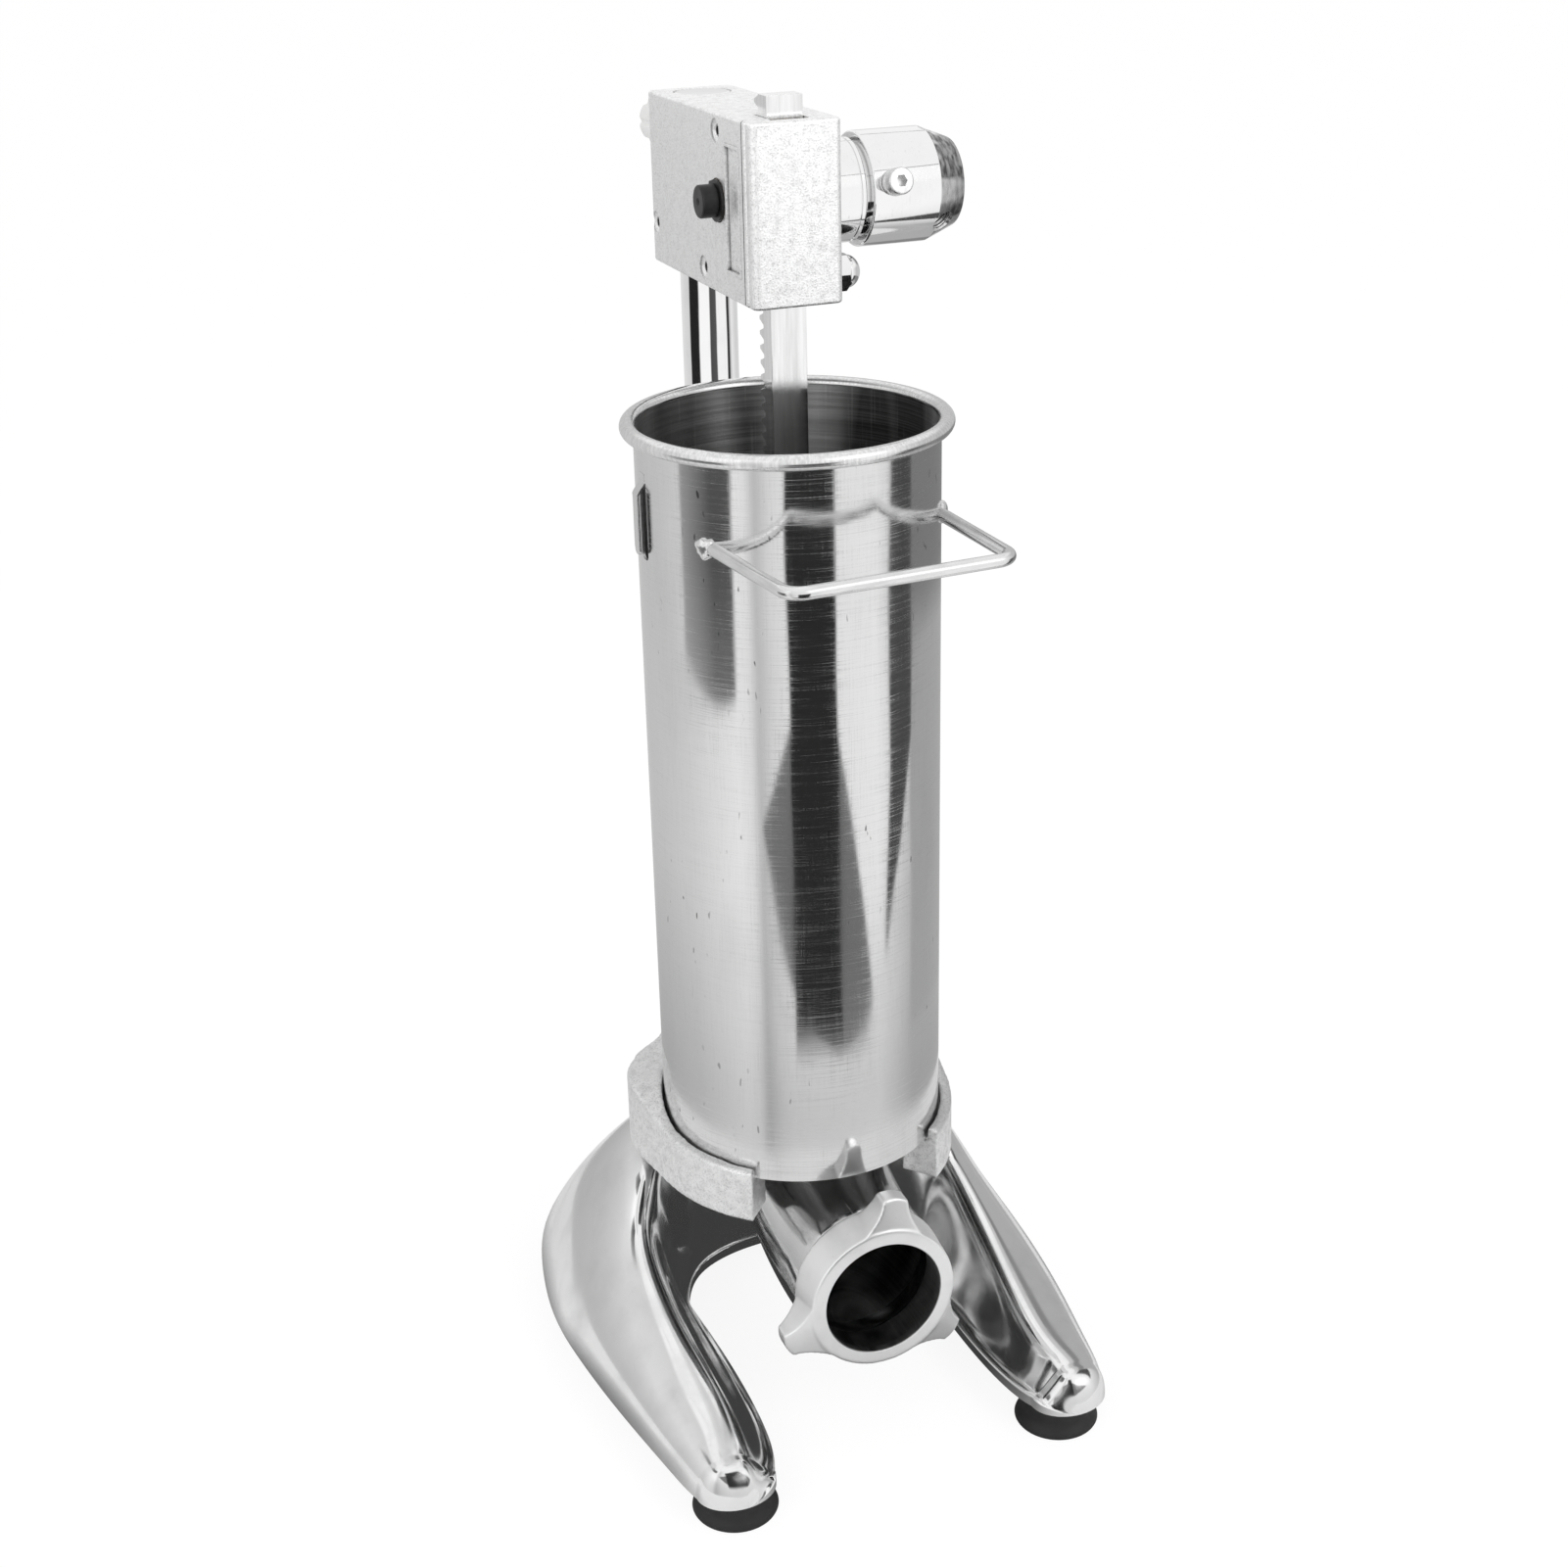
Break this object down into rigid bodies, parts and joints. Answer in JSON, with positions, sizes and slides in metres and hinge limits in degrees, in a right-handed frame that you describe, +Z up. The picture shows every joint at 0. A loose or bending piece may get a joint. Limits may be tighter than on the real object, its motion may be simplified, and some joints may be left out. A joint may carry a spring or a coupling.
{
  "type": "lever churro machine",
  "caption": "Upright dough press: a crank hub and rack drive a piston down a steel cylinder on a horseshoe base, and dough leaves through an elbow with a ring nut.",
  "frame": {"origin": "middle of the base's footprint, on the floor under the rubber feet", "axes": "+Z up along the cylinder and the post, -Y towards the outlet and the open end of the horseshoe, +X towards the crank hub"},
  "size_m": [0.2124, 0.2566, 0.5204],
  "materials": {
    "polished_casting": "polished cast aluminium",
    "blasted_casting": "fine blasted cast aluminium, matt",
    "mirror_steel": "mirror polished stainless steel",
    "satin_steel": "satin steel",
    "chrome": "bright chrome plating",
    "black_oxide": "black oxide on steel",
    "bronze": "sintered bronze",
    "black_rubber": "matt black rubber",
    "pale_seal": "pale food-grade seal",
    "pale_knob": "off-white moulded plastic"
  },
  "bodies": {
    "frame": {"base_casting": "polished_casting", "bush_left": "bronze", "bush_right": "bronze", "carry_handle": "chrome", "cradle": "blasted_casting", "cradle_bolt_1": "satin_steel", "cradle_bolt_2": "satin_steel", "cylinder_floor": "satin_steel", "cylinder_shell": "mirror_steel", "foot_front_left": "black_rubber", "foot_front_right": "black_rubber", "foot_rear_left": "black_rubber", "foot_rear_right": "black_rubber", "foot_screw_front_left": "satin_steel", "foot_screw_front_right": "satin_steel", "foot_screw_rear_left": "satin_steel", "foot_screw_rear_right": "satin_steel", "front_cover": "blasted_casting", "gear_housing": "blasted_casting", "guide_dome_nut": "chrome", "housing_screw_1": "satin_steel", "housing_screw_2": "satin_steel", "housing_screw_3": "satin_steel", "outlet_elbow": "mirror_steel", "post": "chrome", "post_screw": "satin_steel", "rack_guide_pad": "bronze", "rack_guide_screw": "satin_steel"},
    "piston_rack": {"rack": "satin_steel", "piston_disc": "satin_steel", "piston_seal": "pale_seal", "piston_washer": "satin_steel", "piston_nut": "satin_steel"},
    "crank": {"pinion_gear": "satin_steel", "pinion_key": "satin_steel", "pinion_shaft": "black_oxide", "shaft_clip": "black_oxide", "crank_hub": "chrome", "hub_screw": "satin_steel"},
    "ring_nut": {"ring_nut": "polished_casting"},
    "clamp_knob": {"clamp_knob": "pale_knob", "clamp_screw": "satin_steel"}
  },
  "joints": [
    {"name": "piston_lift", "type": "slide", "parent": "frame", "child": "piston_rack", "axis": [0, 0, 1], "range_m": [0, 0.3]},
    {"name": "crank_turn", "type": "hinge", "parent": "frame", "child": "crank", "pos_m": [0, 0.01144, 0.4819], "axis": [-1, 0, 0], "range_deg": [0, 1228]},
    {"name": "ring_nut_turn", "type": "hinge", "parent": "frame", "child": "ring_nut", "pos_m": [0, -0.08675, 0.0674], "axis": [0, -1, 0], "range_deg": [0, 360]},
    {"name": "clamp_knob_turn", "type": "hinge", "parent": "frame", "child": "clamp_knob", "pos_m": [0, 0.10125, 0.497], "axis": [0, 1, 0], "range_deg": [0, 360]}
  ],
  "couplings": [
    {"joint": "crank_turn", "follows": "piston_lift", "rad_per_m": 71.429}
  ]
}
